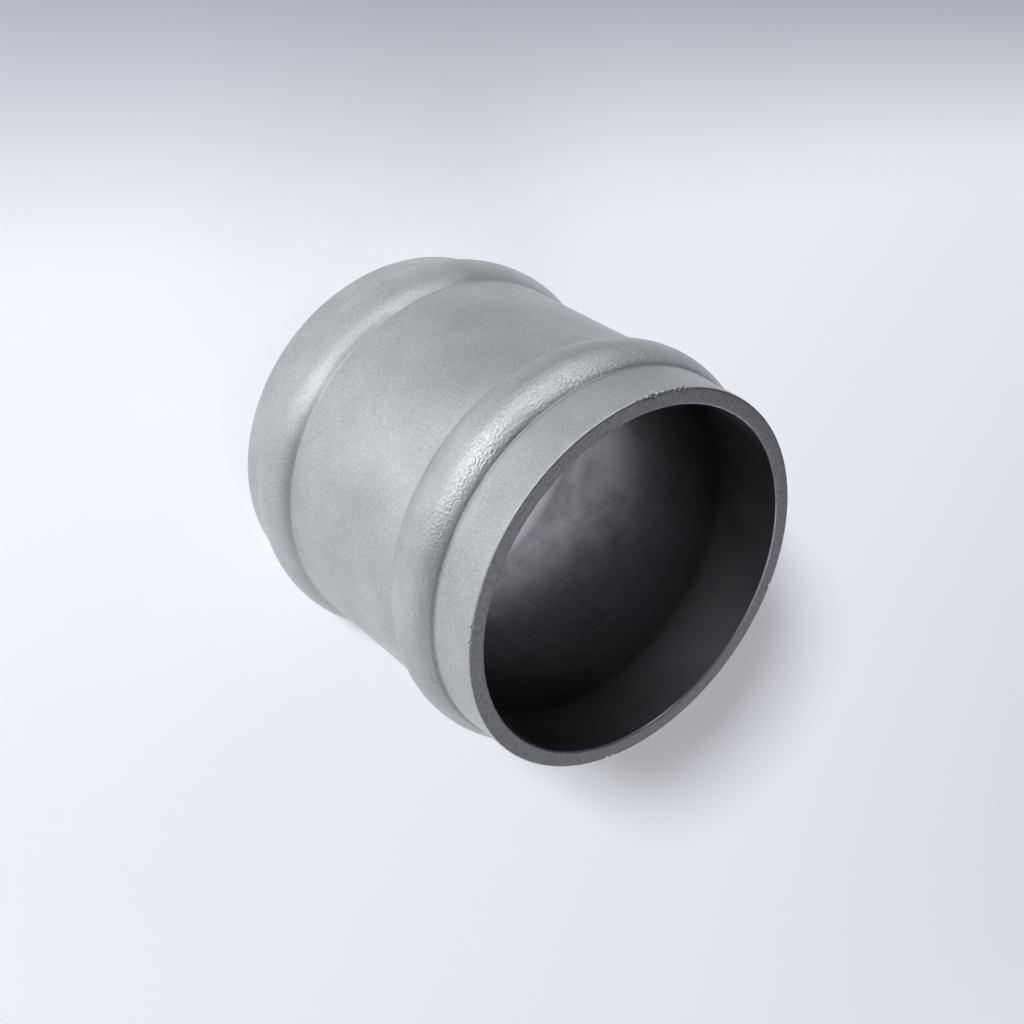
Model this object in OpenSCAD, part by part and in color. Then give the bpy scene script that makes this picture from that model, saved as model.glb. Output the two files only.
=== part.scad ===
// Loose socket for a round cast aluminium downpipe: one plain casting with two round beads.
// It stands on its lower mouth, with its axis along Z.

/* [Socket] */
// Length from mouth to mouth
socket_len = 90; // [70:1:140]
// Inside diameter of the plain bore, which takes a 76 mm pipe and its sealant
bore_d = 82.5; // [60:0.5:110]
// Wall thickness at each mouth
mouth_wall = 3.75; // [3:0.05:6]
// How far the barrel between the beads stands out past the mouths, on the radius
barrel_step = 0.85; // [0.6:0.05:1.5]
// Draft angle of the two end bands, which let the casting leave its mould
band_draft = 2.5; // [0:0.1:3]

/* [Beads] */
// Width of a bead where it meets the barrel
bead_w = 14.8; // [10:0.1:18]
// Height of a bead over the barrel
bead_h = 2.45; // [1.5:0.05:4]
// Distance of the upper bead's middle from the upper mouth
upper_bead_at = 19.75; // [15:0.05:24]
// Distance of the lower bead's middle from the lower mouth
lower_bead_at = 14.3; // [13:0.05:24]
// Radius of the small fillet at each foot of a bead
foot_fillet_r = 0.5; // [0.2:0.1:1]

/* [Edges] */
// Radius of the outer edge of each mouth
outer_edge_r = 0.3; // [0.1:0.1:1]
// Radius of the inner edge of each mouth
inner_edge_r = 0.5; // [0.1:0.1:1]

/* [Hidden] */
$fn = 96;

bore_r = bore_d / 2;
mouth_r = bore_r + mouth_wall;
barrel_r = mouth_r + barrel_step;
half_len = socket_len / 2;

// A bead is the arc of a circle that is bead_w wide and bead_h high over the barrel
bead_arc_r = (pow(bead_w / 2, 2) + pow(bead_h, 2)) / (2 * bead_h);
bead_mid_r = barrel_r + bead_h - bead_arc_r;

// How much the radius of an end band grows in a length along the axis
function band_rise(len) = len * tan(band_draft);

// Middle [radius, distance towards the mouth] of the fillet between a bead and the wall beside it.
// wall_r is the wall's radius level with the bead's middle, and draft is its slope to the mouth.
function fillet_mid(wall_r, draft) =
    let (
        rise = wall_r + foot_fillet_r / cos(draft) - bead_mid_r,
        reach = bead_arc_r + foot_fillet_r,
        slope = tan(draft),
        part = rise * slope,
        along = (part + sqrt(part * part - (1 + slope * slope) * (rise * rise - reach * reach)))
            / (1 + slope * slope)
    )
    [bead_mid_r + rise - along * slope, along];

// The solid half of the socket's section, from the middle of its length (Y = 0) to one mouth, with a
// bead at a given distance from that mouth. X is the radius.
module outer_section(bead_at) {
    bead_mid = [bead_mid_r, half_len - bead_at];
    band_r = mouth_r + band_rise(bead_at);
    band_side = [cos(band_draft), sin(band_draft)];
    band_fillet = [0, bead_mid.y] + fillet_mid(band_r, band_draft);
    barrel_reach = fillet_mid(barrel_r, 0);
    barrel_fillet = [barrel_reach.x, bead_mid.y - barrel_reach.y];
    edge_mid = [
        mouth_r + band_rise(outer_edge_r) - outer_edge_r / cos(band_draft),
        half_len - outer_edge_r
    ];
    difference() {
        union() {
            polygon([
                [0, 0],
                [barrel_r, 0],
                [barrel_r, barrel_fillet.y],
                barrel_fillet,
                bead_mid,
                band_fillet,
                band_fillet - foot_fillet_r * band_side,
                edge_mid + outer_edge_r * band_side,
                [edge_mid.x, half_len],
                [0, half_len]
            ]);
            intersection() {
                translate(bead_mid) circle(r = bead_arc_r);
                square([barrel_r + bead_h, half_len]);
            }
            translate(edge_mid) circle(r = outer_edge_r);
        }
        translate(barrel_fillet) circle(r = foot_fillet_r);
        translate(band_fillet) circle(r = foot_fillet_r);
    }
}

// The bore's half section, which opens a little over the rounded inner edge of the mouth
module bore_section() {
    edge_mid = [bore_r + inner_edge_r, half_len - inner_edge_r];
    difference() {
        polygon([
            [0, 0],
            [bore_r, 0],
            [bore_r, edge_mid.y],
            edge_mid,
            [edge_mid.x, half_len + inner_edge_r],
            [0, half_len + inner_edge_r]
        ]);
        translate(edge_mid) circle(r = inner_edge_r);
    }
}

// Half of the wall, with its bead and both edges of the mouth
module half_section(bead_at) {
    difference() {
        outer_section(bead_at);
        bore_section();
    }
}

// The whole casting, turned about its axis from its two half sections
module socket() {
    color("#b4b7bb")
        translate([0, 0, half_len])
            rotate_extrude() {
                half_section(upper_bead_at);
                mirror([0, 1]) half_section(lower_bead_at);
            }
}

socket();
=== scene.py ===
# %% [markdown]
# # A cast aluminium downpipe socket
# This notebook dresses one part: a loose socket, the plain sleeve that slides over the meeting ends
# of two lengths of round downpipe. The real one is poured in a sand mould, knocked out, blasted with
# shot to an even grey, and ground flat at both mouths. The CAD model gives its exact size. Here the
# casting is modelled again as one fine mesh, so that it can carry the small faults of a real casting.

# %% Load the frame
import math
import bpy
import numpy as np
from mathutils import Matrix, Vector


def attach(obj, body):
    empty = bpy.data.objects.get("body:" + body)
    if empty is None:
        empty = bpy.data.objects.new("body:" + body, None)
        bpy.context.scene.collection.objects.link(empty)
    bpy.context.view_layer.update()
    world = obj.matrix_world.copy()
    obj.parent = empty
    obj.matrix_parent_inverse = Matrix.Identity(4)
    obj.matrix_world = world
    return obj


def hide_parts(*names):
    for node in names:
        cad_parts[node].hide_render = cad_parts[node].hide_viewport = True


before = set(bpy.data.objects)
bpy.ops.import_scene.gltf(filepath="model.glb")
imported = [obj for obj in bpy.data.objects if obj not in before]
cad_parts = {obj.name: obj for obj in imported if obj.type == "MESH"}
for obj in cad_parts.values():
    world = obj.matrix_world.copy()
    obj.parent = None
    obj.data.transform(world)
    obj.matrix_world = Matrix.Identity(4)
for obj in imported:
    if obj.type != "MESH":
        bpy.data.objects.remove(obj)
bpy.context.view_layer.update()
MM = 0.001

# %% [markdown]
# ## Camera
# The photograph shows the socket lying on its beads, with the near mouth towards us. The part stands
# on its lower mouth, so the camera looks down at it and is rolled about its own line of sight: it
# sees the same side of the socket, in the same place in the picture. The distance, the lens and the
# three angles come from a perspective camera fitted to the edges of the near mouth and the beads.

# %% Aim the camera
def aimed(target, azimuth, elevation, distance, roll=0.0):
    """Place of a camera or lamp that looks at a target, in mm and degrees. Azimuth 0 looks along +Y."""
    azimuth, elevation = math.radians(azimuth), math.radians(elevation)
    back = Vector((math.sin(azimuth) * math.cos(elevation), -math.cos(azimuth) * math.cos(elevation),
                   math.sin(elevation)))
    turn = (-back).to_track_quat("-Z", "Y").to_matrix().to_4x4()
    return (Matrix.Translation((Vector(target) + back * distance) * MM) @ turn
            @ Matrix.Rotation(math.radians(roll), 4, "Z"))


bpy.ops.object.select_all(action="DESELECT")
bpy.ops.object.camera_add()
camera = bpy.context.object
camera.name = "photo_camera"
camera.data.sensor_width = 36
camera.data.lens = 52.53
camera.matrix_world = aimed((2.44, 1.09, 46.2), azimuth=-0.547, elevation=42.83, distance=350.2,
                            roll=124.106)
camera.data.clip_start, camera.data.clip_end = 0.01, 50
bpy.context.scene.camera = camera
print("camera at", [round(v / MM, 1) for v in camera.location], "mm")

# %% [markdown]
# ## The section of the wall
# The foundry's pattern is a solid of revolution, so the casting starts as a section too. The sizes
# below, in millimetres, are those of the CAD model: two drafted end bands that leave the sand easily,
# two beads that are arcs of a true circle, and a barrel that stands a little proud of the mouths.

# %% Sizes of the section
LENGTH = 90.0
BORE_R, MOUTH_R, BARREL_R = 41.25, 45.0, 45.85
BEAD_H, BEAD_HALF_W = 2.45, 7.4
UPPER_BEAD_Z = LENGTH - 19.75
LOWER_BEAD_Z = 14.3
BAND_SLOPE = math.tan(math.radians(2.5))
BEAD_ARC_R = (BEAD_HALF_W ** 2 + BEAD_H ** 2) / (2 * BEAD_H)
BEAD_MID_R = BARREL_R + BEAD_H - BEAD_ARC_R
print("bead arc radius", round(BEAD_ARC_R, 3), "mm, its middle at radius", round(BEAD_MID_R, 3), "mm")

# %% Where a bead meets the band beside it
def foot_reach(from_mouth):
    """Distance along the axis from a bead's middle to its foot on the end band."""
    reach = BEAD_HALF_W
    for _ in range(20):
        band_r = MOUTH_R + BAND_SLOPE * (from_mouth - reach)
        reach = math.sqrt(BEAD_ARC_R ** 2 - (band_r - BEAD_MID_R) ** 2)
    return reach


upper_reach = foot_reach(LENGTH - UPPER_BEAD_Z)
lower_reach = foot_reach(LOWER_BEAD_Z)
upper_foot = (MOUTH_R + BAND_SLOPE * (LENGTH - UPPER_BEAD_Z - upper_reach), UPPER_BEAD_Z + upper_reach)
lower_foot = (MOUTH_R + BAND_SLOPE * (LOWER_BEAD_Z - lower_reach), LOWER_BEAD_Z - lower_reach)
print("upper bead's foot (radius, height):", [round(v, 2) for v in upper_foot],
      "lower:", [round(v, 2) for v in lower_foot])

# %% [markdown]
# ## Drawing the section
# A single vertex is drawn out, as one would by hand: extruded along the straight walls and spun along
# the beads. Each straight wall gets a point close to both of its ends. It holds the shading flat up
# to the rounded corner, where a long face would look bent.

# %% Draw with one vertex
def start_wire(name, point):
    """A mesh of one vertex at a point (radius, height) in mm, open in edit mode."""
    bpy.ops.object.select_all(action="DESELECT")
    bpy.ops.mesh.primitive_plane_add(size=MM, location=(0, 0, 0))
    wire = bpy.context.object
    wire.name = wire.data.name = name
    bpy.ops.object.mode_set(mode="EDIT")
    bpy.ops.mesh.select_all(action="SELECT")
    bpy.ops.mesh.merge(type="CENTER")
    bpy.ops.transform.translate(value=(point[0] * MM, 0, point[1] * MM))
    return wire


def line_to(start, end, support=0.8):
    """Extrudes the selected vertex from one point (radius, height) to another, with a support near both."""
    way = Vector(end) - Vector(start)
    for step in (support, way.length - 2 * support, support):
        move = way.normalized() * step * MM
        bpy.ops.mesh.extrude_region_move(TRANSFORM_OT_translate={"value": (move.x, 0, move.y)})
    return end


def arc_over(bead_z, reach_start, reach_end, steps):
    """Spins the selected vertex along a bead's arc, between two distances from its middle."""
    start, end = (math.asin(reach / BEAD_ARC_R) for reach in (reach_start, reach_end))
    bpy.ops.mesh.spin(steps=steps, angle=end - start, center=(BEAD_MID_R * MM, 0, bead_z * MM),
                      axis=(0, 1, 0))
    return BEAD_MID_R + BEAD_ARC_R * math.cos(end), bead_z + reach_end


# %% Draw the outline
at = (BORE_R, 0.0)
casting = start_wire("socket_casting", at)
mesh = casting.data
at = line_to(at, (MOUTH_R, 0.0))
at = line_to(at, lower_foot)
at = arc_over(LOWER_BEAD_Z, -lower_reach, BEAD_HALF_W, steps=22)
at = line_to(at, (BARREL_R, UPPER_BEAD_Z - BEAD_HALF_W))
at = arc_over(UPPER_BEAD_Z, -BEAD_HALF_W, upper_reach, steps=25)
at = line_to(at, (MOUTH_R, LENGTH))
at = line_to(at, (BORE_R, LENGTH))
at = line_to(at, (BORE_R, 0.0))
bpy.ops.mesh.select_all(action="SELECT")
bpy.ops.mesh.remove_doubles(threshold=0.001 * MM)
bpy.ops.object.mode_set(mode="OBJECT")
print("section:", len(mesh.vertices), "points, closed by", len(mesh.edges), "edges")

# %% [markdown]
# ## Fillets and edges
# A casting has no sharp corner where sand had to hold its shape, so each foot of a bead has a small
# fillet. The outer edges of the mouths are nearly sharp from the grinding, and the inner ones eased.

# %% Find and select parts of the mesh
def select(domain, chosen):
    """Selects the casting's vertices, edges or polygons that an array of truths names, in edit mode."""
    bpy.ops.object.mode_set(mode="EDIT")
    bpy.ops.mesh.select_mode(type={"vertices": "VERT", "edges": "EDGE", "polygons": "FACE"}[domain])
    bpy.ops.mesh.select_all(action="DESELECT")
    bpy.ops.object.mode_set(mode="OBJECT")
    getattr(mesh, domain).foreach_set("select", np.asarray(chosen, bool))
    bpy.ops.object.mode_set(mode="EDIT")
    return int(np.sum(chosen))


def places(domain="vertices"):
    """Where the casting's vertices, or the middles of its polygons, are, in mm."""
    items = getattr(mesh, domain)
    flat = np.empty(len(items) * 3)
    items.foreach_get("co" if domain == "vertices" else "center", flat)
    return flat.reshape(-1, 3) / MM


# %% Round the corners
# Each kind of corner: where it is, its radius in mm, and how far the wall turns there in degrees
outer_edges = ([(MOUTH_R, 0), (MOUTH_R, LENGTH)], 0.3, 90)
inner_edges = ([(BORE_R, 0), (BORE_R, LENGTH)], 0.5, 90)
bead_feet = ([lower_foot, (BARREL_R, LOWER_BEAD_Z + BEAD_HALF_W),
              (BARREL_R, UPPER_BEAD_Z - BEAD_HALF_W), upper_foot], 0.5, 34)
for corners, radius, turn in (outer_edges, inner_edges, bead_feet):
    from_corners = [np.hypot(*(places()[:, [0, 2]] - corner).T) for corner in corners]
    found = select("vertices", np.min(from_corners, axis=0) < 0.02)
    cut_back = radius * math.tan(math.radians(turn / 2)) * MM
    bpy.ops.mesh.bevel(offset=cut_back, segments=5, affect="VERTICES")
    bpy.ops.object.mode_set(mode="OBJECT")
    print(found, "corners rounded to", radius, "mm")

# %% Cut the long edges
# The walls need rows of vertices before they can be made uneven: close ones outside, wider in the bore.
# Each round halves the edges that are longer than its limit. In the bore, those under 6 mm stay whole.
BORE_ROW = 6
for longest in (24, 12, 6, 3, 1.6):
    edge_ends = places()[[tuple(edge.vertices) for edge in mesh.edges]]
    in_bore = edge_ends[:, :, 0].max(axis=1) < BORE_R + 0.01
    length = np.linalg.norm(edge_ends[:, 0] - edge_ends[:, 1], axis=1)
    select("edges", (length > longest) & ~(in_bore & (length < BORE_ROW)))
    bpy.ops.mesh.subdivide(number_cuts=1)
    bpy.ops.object.mode_set(mode="OBJECT")
print("section:", len(mesh.vertices), "points")

# %% [markdown]
# ## Turning it
# The section is spun once round the axis, the seam is merged, and the normals are set outwards. The
# upper bead is the nearest part of the casting in the photograph, and it shows a leathery skin. Its
# faces are cut once more, so that this skin can be real relief and not only shading.

# %% Spin the section round the axis
STEPS_ROUND = 390
bpy.ops.object.mode_set(mode="EDIT")
bpy.ops.mesh.select_all(action="SELECT")
bpy.ops.mesh.spin(steps=STEPS_ROUND, angle=2 * math.pi, center=(0, 0, 0), axis=(0, 0, 1))
bpy.ops.mesh.select_all(action="SELECT")
bpy.ops.mesh.remove_doubles(threshold=0.01 * MM)
bpy.ops.mesh.normals_make_consistent(inside=False)
bpy.ops.object.mode_set(mode="OBJECT")
middles = places("polygons")
outside = np.hypot(middles[:, 0], middles[:, 1]) > BARREL_R
select("polygons", outside & (np.abs(middles[:, 2] - UPPER_BEAD_Z) < BEAD_HALF_W - 0.5))
bpy.ops.mesh.subdivide(number_cuts=1)
bpy.ops.object.mode_set(mode="OBJECT")
print("casting:", len(mesh.vertices), "vertices,", len(mesh.polygons), "faces")

# %% [markdown]
# ## Uneven walls
# Sand gives way a little under the metal, so no wall of a casting is truly round. Two soft patterns
# push the surface in: wide, shallow hollows all over, and on the upper bead the leathery wrinkles of
# a skin that froze while the metal still moved. Both only push inwards, so that the casting never
# outgrows its CAD model, and both fade out before the ground mouths, which stay flat.

# %% Hollows and wrinkles
def weigh(name, weights):
    """Gives the casting a vertex group with a weight for each vertex, in steps of a tenth."""
    group = casting.vertex_groups.new(name=name)
    tenths = np.round(np.clip(weights, 0, 1) * 10)
    for tenth in range(1, 11):
        group.add(np.flatnonzero(tenths == tenth).tolist(), tenth / 10, "REPLACE")
    return name


def push_in(name, weights, width, depth):
    """Pushes the walls in by up to a depth, in soft clouds of a width, both in mm."""
    clouds = bpy.data.textures.new(name, "CLOUDS")
    clouds.noise_scale = width * MM
    bpy.ops.object.modifier_add(type="DISPLACE")
    displace = casting.modifiers[-1]
    displace.texture = clouds
    displace.vertex_group = weigh(name, weights)
    displace.strength, displace.mid_level = depth * MM, 1.0
    before = places()
    bpy.ops.object.modifier_apply(modifier=displace.name)
    print(name, "goes in by up to", round(np.linalg.norm(places() - before, axis=1).max(), 3), "mm")


# The hollows begin 0.6 mm from a mouth, and are at their full depth 5 mm further on
walls = places()
from_mouth = np.minimum(walls[:, 2], LENGTH - walls[:, 2])
push_in("hollows", (from_mouth - 0.6) / 5, width=22, depth=0.2)
# The wrinkles fade out over the last 1.5 mm of the upper bead, and the bore has none
out_of_bore = np.hypot(walls[:, 0], walls[:, 1]) > BARREL_R - 0.5
on_bead = (BEAD_HALF_W - 0.4 - np.abs(walls[:, 2] - UPPER_BEAD_Z)) / 1.5
push_in("wrinkles", np.where(out_of_bore, on_bead, 0), width=0.6, depth=0.13)

# %% [markdown]
# ## Nicks, pits and a vein
# Grinding the mouth flat broke small chips from its outer edge, and the skin has a few pinholes where gas
# met the sand. Each is pushed in one by one: the faces round its place are cut finer, the nearest vertex is
# picked, and its neighbours are drawn along with it. A thin vein of metal, which ran into a crack of the
# mould, stands a hair above the barrel.

# %% Cut finer, and push
def on_wall(turn, height, radius):
    """A point in mm on the wall, at an angle round the axis in degrees."""
    return np.array([radius * math.cos(math.radians(turn)), radius * math.sin(math.radians(turn)), height])


def cut_finer(points, reach, cuts):
    """Cuts the faces that lie within reach, in mm, of one of the points."""
    middles = places("polygons")
    near = np.min([np.linalg.norm(middles - p, axis=1) for p in points], axis=0) < reach
    select("polygons", near)
    bpy.ops.mesh.subdivide(number_cuts=cuts)
    bpy.ops.object.mode_set(mode="OBJECT")


def push(point, reach, way):
    """Moves the vertex nearest to a point by a way in mm, and those within reach along with it."""
    distance = np.linalg.norm(places() - point, axis=1)
    select("vertices", distance == distance.min())
    bpy.ops.transform.translate(value=tuple(Vector(way) * MM), use_proportional_edit=True,
                                proportional_edit_falloff="SMOOTH", proportional_size=reach * MM)
    bpy.ops.object.mode_set(mode="OBJECT")


# %% Chips in the outer edge of the upper mouth
# Each chip: its angle round the axis in degrees, then its reach and its depths inwards and down in mm
chips = [(-132.0, 0.54, 0.32, 0.224), (-134.4, 0.72, 0.416, 0.128), (-136.1, 0.54, 0.16, 0.416),
         (-137.6, 0.9, 0.512, 0.384), (-139.8, 0.72, 0.416, 0.16), (-141.6, 0.48, 0.16, 0.352),
         (-144.0, 0.6, 0.352, 0.256), (-146.2, 0.66, 0.224, 0.48), (-148.0, 0.72, 0.48, 0.288),
         (-149.6, 0.48, 0.288, 0.16), (-56.0, 0.6, 0.384, 0.352), (-51.3, 0.48, 0.288, 0.352),
         (35.0, 0.72, 0.384, 0.32), (37.2, 0.54, 0.32, 0.192), (112.0, 0.6, 0.32, 0.384)]
edge_r, edge_z = MOUTH_R - 0.1, LENGTH - 0.1
cut_finer([on_wall(turn, edge_z, edge_r) for turn, *_ in chips], 1.0, 2)
for turn, reach, inwards, down in chips:
    push(on_wall(turn, edge_z, edge_r), reach, on_wall(turn, -down, -inwards))
print(len(chips), "chips in the ground edge:", len(mesh.polygons), "faces")

# %% Pinholes in the skin
# Each pinhole: its angle in degrees, then its height, the wall's radius there, its reach and depth in mm
pinholes = [(-43.8, 24.0, 45.9, 0.5, 0.16), (-46.1, 70.5, 48.3, 0.55, 0.16),
            (-44.2, 76.0, 46.9, 0.45, 0.12), (-31.1, 73.8, 47.7, 0.45, 0.12),
            (-44.8, 84.6, 45.2, 0.8, 0.05), (58.0, 52.0, 45.9, 0.5, 0.16),
            (131.0, 31.0, 45.9, 0.55, 0.16), (164.0, 71.0, 48.3, 0.5, 0.15),
            (8.0, 13.0, 48.2, 0.5, 0.16), (96.0, 82.5, 45.3, 0.5, 0.14)]
cut_finer([on_wall(*pinhole[:3]) for pinhole in pinholes], 1.1, 3)
for turn, height, radius, reach, depth in pinholes:
    push(on_wall(turn, height, radius), reach, on_wall(turn, 0, -depth))
print(len(pinholes), "pinholes:", len(mesh.polygons), "faces")

# %% The vein on the barrel
VEIN_HALF_W, VEIN_H = 0.17, 0.05
# Where the vein starts, bends and ends: angles round the axis in degrees, and heights in mm
turns = (-42.6, -41.0, -42.9, -43.7)
heights = (26.5, 31.4, 44.5, 53.5)
bends = range(len(turns))
path = [on_wall(np.interp(s, bends, turns), np.interp(s, bends, heights), BARREL_R - 0.1)
        for s in np.linspace(0, len(turns) - 1, 70)]
cut_finer(path, 0.8, 5)
from_vein = np.min([np.linalg.norm(places() - p, axis=1) for p in path], axis=0)
raised = select("vertices", from_vein < VEIN_HALF_W)
bpy.ops.transform.translate(value=tuple(Vector(on_wall(turns[0], 0, VEIN_H)) * MM))
bpy.ops.object.mode_set(mode="OBJECT")
print("vein:", raised, "vertices raised;", len(mesh.polygons), "faces")

# %% [markdown]
# ## Finishes
# Everything here is one alloy, and three jobs in the foundry give it three finishes. The patterns are
# made from noise on the object's own coordinates, and their sizes are real ones in millimetres, so
# they stay the same if the camera or the size of the picture changes.

# %% Helpers for materials
def linear(hex_colour):
    """A colour written as sRGB hex, as the linear numbers that Blender's sockets take."""
    parts = [int(hex_colour[i:i + 2], 16) / 255 for i in (0, 2, 4)]
    return [p / 12.92 if p <= 0.04045 else ((p + 0.055) / 1.055) ** 2.4 for p in parts] + [1]


def add(tree, kind, inputs=None, **settings):
    """Adds a shader node with its settings. An input is a number, a colour or another node's output."""
    node = tree.nodes.new("ShaderNode" + kind)
    for name, value in settings.items():
        setattr(node, name, value)
    for name, value in (inputs or {}).items():
        if isinstance(value, bpy.types.NodeSocket):
            tree.links.new(value, node.inputs[name])
        else:
            node.inputs[name].default_value = value
    return node


def new_material(name):
    """A new material: the material, its node tree, its shader, and the object's own coordinates."""
    material = bpy.data.materials.new(name)
    material.use_nodes = True
    tree = material.node_tree
    return material, tree, tree.nodes["Principled BSDF"], add(tree, "TexCoord").outputs["Object"]


def per_mm(size):
    """The scale of a noise whose grains are this many mm wide."""
    return 1 / (size * MM)


# %% [markdown]
# ### Shot-blasted skin
# Cast aluminium, blasted with fine steel shot: bare metal, so fully metallic, with thousands of tiny
# dimples that make it satin. The eye sees a soft silver grey with a fine sparkle. Real dimples are about
# 0.2 mm wide, too fine to show here, so they are drawn 0.45 mm wide. Under them lie the wrinkles of the
# skin, 0.55 mm wide. They are strong on the upper bead and faint elsewhere, as in the photograph. Very
# faint clouds show where the blast dwelt longer. The crease above the upper bead is painted darker, as
# painted shade in its tight fillet.

# %% Shot-blasted cast aluminium
skin, tree, shader, place = new_material("shot_blasted_cast_aluminium")
dimples = add(tree, "TexNoise", {"Vector": place, "Scale": per_mm(0.45), "Detail": 3.0, "Roughness": 0.65})
wrinkles = add(tree, "TexNoise", {"Vector": place, "Scale": per_mm(0.55), "Detail": 1.0, "Roughness": 0.5})
clouds = add(tree, "TexNoise", {"Vector": place, "Scale": per_mm(16), "Detail": 3.0, "Roughness": 0.55})
blend = add(tree, "Math", {0: clouds.outputs["Fac"], 1: 0.7, 2: dimples.outputs["Fac"]},
            operation="MULTIPLY_ADD")
tone = add(tree, "MapRange", {"Value": blend.outputs[0], "From Min": 0.6, "From Max": 1.1})
colour = add(tree, "Mix", {0: tone.outputs["Result"], 6: linear("B0B1AF"), 7: linear("D1D3D0")},
             data_type="RGBA")
height = add(tree, "SeparateXYZ", {"Vector": place}).outputs["Z"]
above_foot = add(tree, "Math", {0: height, 1: upper_foot[1] * MM}, operation="SUBTRACT")
from_foot = add(tree, "Math", {0: above_foot.outputs[0]}, operation="ABSOLUTE")
# Painted shade: a thin dark grey line painted along the crease above the upper bead
crease_shade = add(tree, "MapRange", {"Value": from_foot.outputs[0], "From Min": 0.2 * MM, "From Max": 1.1 * MM,
                              "To Min": 0.4, "To Max": 0.0}, interpolation_type="SMOOTHSTEP")
colour = add(tree, "Mix", {0: crease_shade.outputs["Result"], 6: colour.outputs[2], 7: linear("6A6C70")},
             data_type="RGBA")
tree.links.new(colour.outputs[2], shader.inputs["Base Color"])
shader.inputs["Metallic"].default_value = 1.0
satin = add(tree, "MapRange", {"Value": dimples.outputs["Fac"], "From Min": 0.3, "From Max": 0.7,
                               "To Min": 0.50, "To Max": 0.38})
tree.links.new(satin.outputs["Result"], shader.inputs["Roughness"])
above_bead = add(tree, "Math", {0: height, 1: UPPER_BEAD_Z * MM}, operation="SUBTRACT")
from_bead = add(tree, "Math", {0: above_bead.outputs[0]}, operation="ABSOLUTE")
wrinkled = add(tree, "MapRange", {"Value": from_bead.outputs[0], "From Min": 6 * MM, "From Max": 9 * MM,
                                  "To Min": 1.0, "To Max": 0.4}, interpolation_type="SMOOTHSTEP")
leather = add(tree, "Bump", {"Height": wrinkles.outputs["Fac"], "Strength": wrinkled.outputs["Result"],
                             "Distance": 0.13 * MM})
peened = add(tree, "Bump", {"Height": dimples.outputs["Fac"], "Strength": 1.0, "Distance": 0.03 * MM,
                            "Normal": leather.outputs["Normal"]})
tree.links.new(peened.outputs["Normal"], shader.inputs["Normal"])
print(skin.name, "has", len(tree.nodes), "nodes")

# %% [markdown]
# ### Ground mouth
# The mouths were ground flat on a coarse disc after blasting. The ground metal has gone dark with
# fine scratches that trap grinding dust, so it is a mottled dark grey. The scratches run all one way,
# because the casting was pushed straight across the disc.

# %% Ground aluminium
ground, tree, shader, place = new_material("ground_aluminium_mouth")
along = add(tree, "Mapping", {"Vector": place, "Rotation": (0, 0, math.radians(35)), "Scale": (1, 0.16, 1)})
scratches = add(tree, "TexNoise", {"Vector": along.outputs["Vector"], "Scale": per_mm(0.3), "Detail": 3.0,
                                   "Roughness": 0.6})
mottle = add(tree, "TexNoise", {"Vector": place, "Scale": per_mm(0.9), "Detail": 4.0, "Roughness": 0.65})
blend = add(tree, "Math", {0: scratches.outputs["Fac"], 1: 0.6, 2: mottle.outputs["Fac"]},
            operation="MULTIPLY_ADD")
tone = add(tree, "MapRange", {"Value": blend.outputs[0], "From Min": 0.6, "From Max": 1.0})
colour = add(tree, "Mix", {0: tone.outputs["Result"], 6: linear("858689"), 7: linear("9D9FA2")},
             data_type="RGBA")
tree.links.new(colour.outputs[2], shader.inputs["Base Color"])
shader.inputs["Metallic"].default_value = 1.0
satin = add(tree, "MapRange", {"Value": mottle.outputs["Fac"], "From Min": 0.3, "From Max": 0.7,
                               "To Min": 0.58, "To Max": 0.42})
tree.links.new(satin.outputs["Result"], shader.inputs["Roughness"])
scored = add(tree, "Bump", {"Height": blend.outputs[0], "Strength": 1.0, "Distance": 0.02 * MM})
tree.links.new(scored.outputs["Normal"], shader.inputs["Normal"])
print(ground.name, "has", len(tree.nodes), "nodes")

# %% [markdown]
# ### As-cast bore
# The bore was formed by a sand core. It keeps the dark film of the hot core, in drifting smoky patches,
# over a slightly grainy skin. The shot only reached in at the mouths, where the metal is pale again. The
# colour is partly painted light as well: paler near the open mouths, where light comes in, and darker deep
# inside, as painted shade.

# %% As-cast bore
core, tree, shader, place = new_material("as_cast_bore")
smoke = add(tree, "TexNoise", {"Vector": place, "Scale": per_mm(9), "Detail": 5.0, "Roughness": 0.6,
                               "Distortion": 0.8})
grain = add(tree, "TexNoise", {"Vector": place, "Scale": per_mm(0.8), "Detail": 3.0, "Roughness": 0.6})
blend = add(tree, "Math", {0: grain.outputs["Fac"], 1: 0.35, 2: smoke.outputs["Fac"]},
            operation="MULTIPLY_ADD")
tone = add(tree, "MapRange", {"Value": blend.outputs[0], "From Min": 0.45, "From Max": 0.9})
# Partly painted shade: this dark film colour also stands in for the shade deep in the bore
film_and_shade = add(tree, "Mix", {0: tone.outputs["Result"], 6: linear("434447"), 7: linear("555659")},
           data_type="RGBA")
height = add(tree, "SeparateXYZ", {"Vector": place}).outputs["Z"]
above_middle = add(tree, "Math", {0: height, 1: LENGTH / 2 * MM}, operation="SUBTRACT")
from_middle = add(tree, "Math", {0: above_middle.outputs[0]}, operation="ABSOLUTE")
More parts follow.
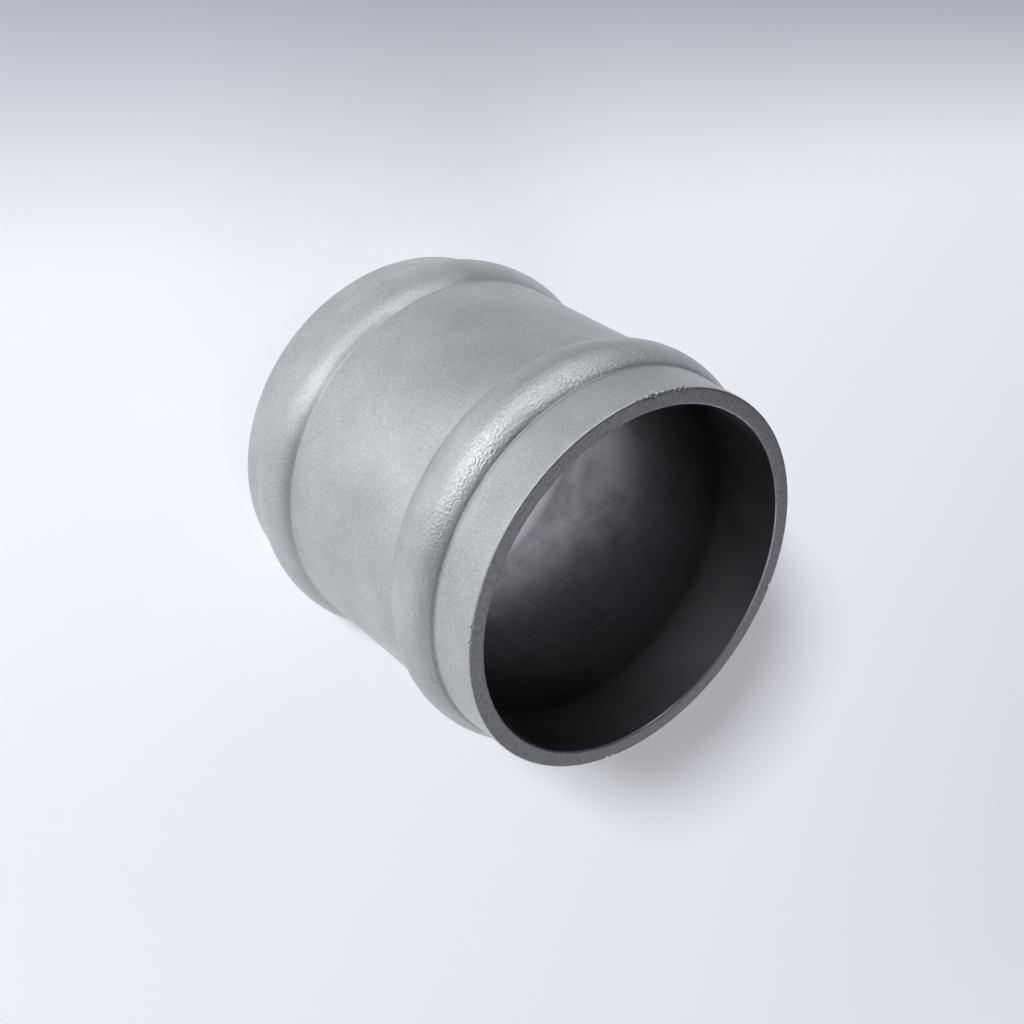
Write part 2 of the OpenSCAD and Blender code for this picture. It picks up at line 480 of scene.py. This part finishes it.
# Partly painted light: the bore is painted paler towards both mouths, for the blast there and for the light
# that comes in there
blast_and_painted_light = add(tree, "MapRange", {"Value": from_middle.outputs[0], "From Min": 26 * MM, "From Max": 43 * MM})
colour = add(tree, "Mix", {0: blast_and_painted_light.outputs["Result"], 6: film_and_shade.outputs[2], 7: linear("D0D2D5")},
             data_type="RGBA")
tree.links.new(colour.outputs[2], shader.inputs["Base Color"])
shader.inputs["Metallic"].default_value = 1.0
satin = add(tree, "MapRange", {"Value": smoke.outputs["Fac"], "From Min": 0.3, "From Max": 0.7,
                               "To Min": 0.34, "To Max": 0.28})
tree.links.new(satin.outputs["Result"], shader.inputs["Roughness"])
sandy = add(tree, "Bump", {"Height": grain.outputs["Fac"], "Strength": 1.0, "Distance": 0.03 * MM})
tree.links.new(sandy.outputs["Normal"], shader.inputs["Normal"])
print(core.name, "has", len(tree.nodes), "nodes")

# %% [markdown]
# ## Which face has which finish
# The direction that a face looks in tells its finish: the flat ends were ground, faces that look at
# the axis are the bore, and all the others are skin. Smooth shading stops at the sharp chips.

# %% Give each face its finish
# A ground face lies within 0.7 mm of a mouth's plane, and looks up or down
for material in (skin, ground, core):
    mesh.materials.append(material)
middles, normals = places("polygons"), np.empty(len(mesh.polygons) * 3)
mesh.polygons.foreach_get("normal", normals)
normals = normals.reshape(-1, 3)
at_mouth = np.abs(middles[:, 2] - LENGTH / 2) > LENGTH / 2 - 0.7
ends = at_mouth & (np.abs(normals[:, 2]) > 0.7)
looks_inwards = (normals[:, :2] * middles[:, :2]).sum(axis=1) < 0
bore = looks_inwards & (np.hypot(middles[:, 0], middles[:, 1]) < BORE_R + 0.6) & ~ends
mesh.polygons.foreach_set("material_index", np.where(ends, 1, np.where(bore, 2, 0)).astype(np.int32))
bpy.ops.object.shade_smooth_by_angle(angle=math.radians(50))
print("faces ground:", int(ends.sum()), "bore:", int(bore.sum()), "skin:", int((~ends & ~bore).sum()))

# %% [markdown]
# ## Binding it to the part
# The part is one body, so the casting rides on the root. It takes the place of the plain CAD solid,
# and shows the cast aluminium that the part's record names.

# %% Bind the casting to the part
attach(casting, "root")
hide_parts("socket")
print(casting.name, "measures", [round(v / MM, 2) for v in casting.dimensions], "mm")

# %% [markdown]
# ## Floor
# The stage is a sheet of pale paper. It glows very softly to the camera and to the metal, not to anything
# else, so it looks pale without more light on the casting, and it keeps the shadow. One broad soft band of
# the paper is painted greyer: painted shade, standing in for the light that falls off across the far paper.
# It crosses the top of the picture, as in the photograph.

# %% Pale paper floor
PAPER_GLOW = 0.14
# In mm: how far the painted shade band's middle is from the axis, and how far from that middle it fades and
# ends
SHADE_BAND_AWAY, SHADE_BAND_FADES, SHADE_BAND_ENDS = 138.0, 8, 96
bpy.ops.object.select_all(action="DESELECT")
bpy.ops.mesh.primitive_plane_add(size=4000 * MM)
floor = bpy.context.object
floor.name = "studio_floor"
paper, tree, shader, place = new_material("pale_paper_floor")
# Painted shade: a soft grey band is painted across the far paper, where the light falls off
across = add(tree, "VectorMath", {0: place, 1: (0.8 / MM, 0.6 / MM, 0)}, operation="DOT_PRODUCT")
past_shade_band = add(tree, "Math", {0: across.outputs["Value"], 1: SHADE_BAND_AWAY}, operation="ADD")
from_shade_band = add(tree, "Math", {0: past_shade_band.outputs[0]}, operation="ABSOLUTE")
pale = add(tree, "MapRange", {"Value": from_shade_band.outputs[0], "From Min": SHADE_BAND_FADES, "From Max": SHADE_BAND_ENDS},
           interpolation_type="SMOOTHSTEP")
colour = add(tree, "Mix", {0: pale.outputs["Result"], 6: linear("9C9EA7"), 7: linear("F0F1F5")},
             data_type="RGBA")
tree.links.new(colour.outputs[2], shader.inputs["Base Color"])
tree.links.new(colour.outputs[2], shader.inputs["Emission Color"])
shader.inputs["Roughness"].default_value = 0.9
shader.inputs["Specular IOR Level"].default_value = 0.0
rays = add(tree, "LightPath")
seen = add(tree, "Math", {0: rays.outputs["Is Camera Ray"], 1: rays.outputs["Is Glossy Ray"]},
           operation="MAXIMUM")
seen = add(tree, "Math", {0: seen.outputs[0], 1: rays.outputs["Is Transmission Ray"]}, operation="MAXIMUM")
glow = add(tree, "Math", {0: seen.outputs[0], 1: PAPER_GLOW}, operation="MULTIPLY")
tree.links.new(glow.outputs[0], shader.inputs["Emission Strength"])
floor.data.materials.append(paper)
print("floor:", [round(v / MM) for v in floor.dimensions], "mm")

# %% [markdown]
# ## World
# The room is a dim dome, brightest at the horizon. The camera sees it as a pale wall. The dome and the
# softboxes share one cool white.

# %% Dim dome
COOL_WHITE = linear("F8FAFF")
# Strengths: straight overhead, what the horizon adds to that, and the wall that the camera sees
OVERHEAD, HORIZON, WALL = 0.06, 0.24, 0.8
world = bpy.data.worlds.new("studio_room")
bpy.context.scene.world = world
world.use_nodes = True
tree = world.node_tree
height = add(tree, "SeparateXYZ", {"Vector": add(tree, "TexCoord").outputs["Generated"]}).outputs["Z"]
height = add(tree, "Math", {0: height, 1: 0.0}, operation="MAXIMUM").outputs[0]
fade = add(tree, "Math", {0: 1.0, 1: height}, operation="SUBTRACT")
fade = add(tree, "Math", {0: fade.outputs[0], 1: 3.0}, operation="POWER")
fade = add(tree, "Math", {0: fade.outputs[0], 1: HORIZON, 2: OVERHEAD}, operation="MULTIPLY_ADD")
rays = add(tree, "LightPath")
wall = add(tree, "Math", {0: rays.outputs["Is Camera Ray"], 1: WALL}, operation="MULTIPLY")
strength = add(tree, "Math", {0: fade.outputs[0], 1: wall.outputs[0]}, operation="MAXIMUM")
tree.nodes["Background"].inputs["Color"].default_value = COOL_WHITE
tree.links.new(strength.outputs[0], tree.nodes["Background"].inputs["Strength"])
print(world.name, "has", len(tree.nodes), "nodes")

# %% [markdown]
# ## Lamps
# A shiny round thing shows its lamps as bands, so the lamps were placed by the bands in the
# photograph. Low strips in front draw the bright ridge along the beads and leave their flanks dark,
# and large soft lamps shade the sides. A far key light throws the shadow, with two fills to even out
# the paper. These three are kept out of the metal, where they would draw more ridges. Two lamps do
# the reverse: they only show in the metal, on the shoulders and the ground mouth. A weak card lies on
# the floor in front. A narrow beam falls into the bore and lights its far end, as the open mouth does
# in the photograph.

# %% Softboxes
def softbox(name, azimuth, elevation, power, distance=700, width=250, height=250, target=(0, 0, 45)):
    """A rectangular lamp aimed at a target; places and sizes in mm, power in watts."""
    bpy.ops.object.select_all(action="DESELECT")
    bpy.ops.object.light_add(type="AREA")
    lamp = bpy.context.object
    lamp.name = name
    lamp.data.shape = "RECTANGLE"
    lamp.data.size, lamp.data.size_y = width * MM, height * MM
    lamp.data.energy = power
    lamp.data.color = COOL_WHITE[:3]
    lamp.visible_camera = False
    lamp.matrix_world = aimed(target, azimuth, elevation, distance)
    return lamp


key = softbox("key_softbox", -5, 27.5, 76.0, distance=2500, width=330, height=330)
softbox("front_strip", 0, -2, 0.27, distance=400, width=280, height=55)
softbox("front_left_strip", -38, 0, 0.1, distance=400, width=130, height=70)
softbox("right_softbox", 90, 30, 0.4)
softbox("left_softbox", -60, 9, 0.4)
softbox("back_softbox", 150, 9, 2.0, distance=1100, width=400, height=300)
metal_lamps = (softbox("top_softbox", 60, 58, 1.6), softbox("rim_softbox", 180, 48, 0.34))
for lamp in metal_lamps:
    lamp.visible_diffuse = False
fill = softbox("floor_fill", 60, 60, 1.9, distance=1200, width=500, height=500, target=(0, 750, 0))
side_fill = softbox("side_fill", -100, 50, 0.25, distance=500, target=(-150, 0, 0))
for lamp in (key, fill, side_fill):
    lamp.visible_glossy = False
table_card = softbox("table_card", 0, 0, 0.007, width=100, height=60)
facing_up = Matrix.Rotation(math.pi, 4, "X")
table_card.matrix_world = Matrix.Translation(Vector((0, -110, 2)) * MM) @ facing_up

# %% Beam into the bore
bpy.ops.object.select_all(action="DESELECT")
bpy.ops.object.light_add(type="SPOT")
beam = bpy.context.object
beam.name = "bore_beam"
beam.data.energy = 88
beam.data.shadow_soft_size = 6 * MM
beam.data.spot_size, beam.data.spot_blend = math.radians(2.5), 0.9
beam.visible_camera = False
beam.matrix_world = aimed((5, 14, 0), azimuth=-4, elevation=74, distance=700)
print("beam from", [round(v / MM) for v in beam.location], "mm")

# %% Finish
bpy.context.scene.view_settings.view_transform = "Standard"
